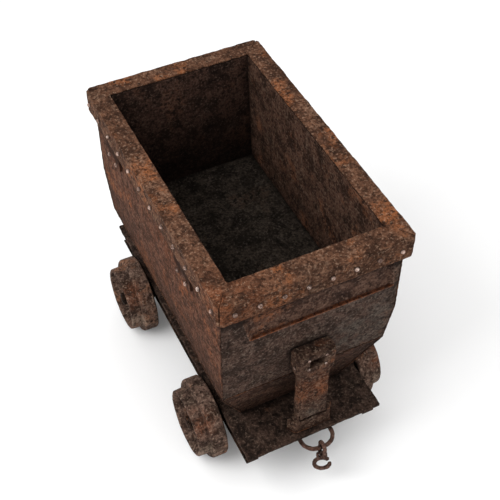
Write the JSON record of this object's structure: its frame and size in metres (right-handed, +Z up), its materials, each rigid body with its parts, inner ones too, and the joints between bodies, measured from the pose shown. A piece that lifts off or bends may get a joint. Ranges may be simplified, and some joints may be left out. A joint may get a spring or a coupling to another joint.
{
  "type": "mine cart",
  "caption": "End-tipping mine cart: riveted double-skinned steel tub hinged on a flat deck, flanged wheels, swinging latch post, and a draw hook on a link.",
  "frame": {"origin": "on the floor, under the middle of the cart's overall length and width", "axes": "+Z up; Y along the track, with the draw hook at the -Y end and the tipping shaft at the +Y end; X across the track"},
  "size_m": [0.68, 1.187, 0.955],
  "materials": {
    "tub_steel": "heavily rusted plate, reddish brown with darker streaks",
    "rim_steel": "rusted plate worn to orange tan, lighter on the edges",
    "liner_steel": "dark brown rusted plate, almost black at the floor",
    "deck_steel": "dark mottled rust with light worn edges",
    "frame_steel": "dark brown rust",
    "latch_iron": "forged iron, orange rust over dark grey",
    "draw_iron": "worn forged iron, pinkish-brown rust",
    "cast_iron": "rough casting, grey-brown rust with orange patches",
    "rivet_iron": "rusted rivets with worn light heads"
  },
  "bodies": {
    "frame": {"axle_near": "frame_steel", "axle_far": "frame_steel", "axle_washers": "frame_steel", "axle_nuts": "frame_steel", "axle_collars": "frame_steel", "axle_block_near_left": "cast_iron", "axle_block_near_right": "cast_iron", "axle_block_far_left": "cast_iron", "axle_block_far_right": "cast_iron", "axle_block_bolts": "frame_steel", "deck_plate": "deck_steel", "sill_left": "frame_steel", "sill_right": "frame_steel", "cross_member_near": "frame_steel", "cross_member_far": "frame_steel", "tip_bracket_left": "frame_steel", "tip_bracket_right": "frame_steel", "tipping_collars": "frame_steel", "tipping_shaft": "frame_steel", "latch_shoe": "latch_iron", "latch_pin": "frame_steel", "bail": "draw_iron", "bail_keeper": "frame_steel", "bail_keeper_bolts": "frame_steel"},
    "tub": {"tub_wall_near": "tub_steel", "tub_wall_right": "tub_steel", "tub_wall_far": "tub_steel", "tub_wall_left": "tub_steel", "hopper": "tub_steel", "recess_pan": "tub_steel", "cleat_left_near": "tub_steel", "cleat_left_far": "tub_steel", "cleat_right_near": "tub_steel", "cleat_right_far": "tub_steel", "cleat_rivets": "rivet_iron", "liner_near": "liner_steel", "liner_right": "liner_steel", "liner_far": "liner_steel", "liner_left": "liner_steel", "liner_floor": "liner_steel", "skin_ring_top": "tub_steel", "skin_ring_bottom": "tub_steel", "floor_bearers": "tub_steel", "band_rivets_side": "rivet_iron", "band_rivets_end": "rivet_iron", "rim_near": "rim_steel", "rim_right": "rim_steel", "rim_far": "rim_steel", "rim_left": "rim_steel", "packing_ring": "tub_steel", "tub_lug_left": "tub_steel", "tub_lug_right": "tub_steel"},
    "latch": {"latch_post": "latch_iron", "latch_rivets": "rivet_iron"},
    "wheel_near_left_body": {"wheel_near_left": "cast_iron"},
    "wheel_near_right_body": {"wheel_near_right": "cast_iron"},
    "wheel_far_left_body": {"wheel_far_left": "cast_iron"},
    "wheel_far_right_body": {"wheel_far_right": "cast_iron"},
    "link_body": {"link": "draw_iron"},
    "hook_body": {"hook": "draw_iron"}
  },
  "joints": [
    {"name": "tub_tip", "type": "hinge", "parent": "frame", "child": "tub", "pos_m": [0, 0.4585, 0.262], "axis": [-1, 0, 0], "range_deg": [0, 45]},
    {"name": "latch_swing", "type": "hinge", "parent": "frame", "child": "latch", "pos_m": [0, -0.4895, 0.3], "axis": [1, 0, 0], "range_deg": [0, 75]},
    {"name": "wheel_near_left_spin", "type": "hinge", "parent": "frame", "child": "wheel_near_left_body", "pos_m": [-0.3, -0.2615, 0.138], "axis": [1, 0, 0], "continuous": true},
    {"name": "wheel_near_right_spin", "type": "hinge", "parent": "frame", "child": "wheel_near_right_body", "pos_m": [0.3, -0.2615, 0.138], "axis": [1, 0, 0], "continuous": true},
    {"name": "wheel_far_left_spin", "type": "hinge", "parent": "frame", "child": "wheel_far_left_body", "pos_m": [-0.3, 0.3285, 0.138], "axis": [1, 0, 0], "continuous": true},
    {"name": "wheel_far_right_spin", "type": "hinge", "parent": "frame", "child": "wheel_far_right_body", "pos_m": [0.3, 0.3285, 0.138], "axis": [1, 0, 0], "continuous": true},
    {"name": "link_swing", "type": "hinge", "parent": "frame", "child": "link_body", "pos_m": [0, -0.5725, 0.211], "axis": [-1, 0, 0], "range_deg": [-20, 60]},
    {"name": "hook_swing", "type": "hinge", "parent": "link_body", "child": "hook_body", "pos_m": [0, -0.5725, 0.1605], "axis": [0.4384, 0.8988, 0], "range_deg": [-80, 80]}
  ]
}
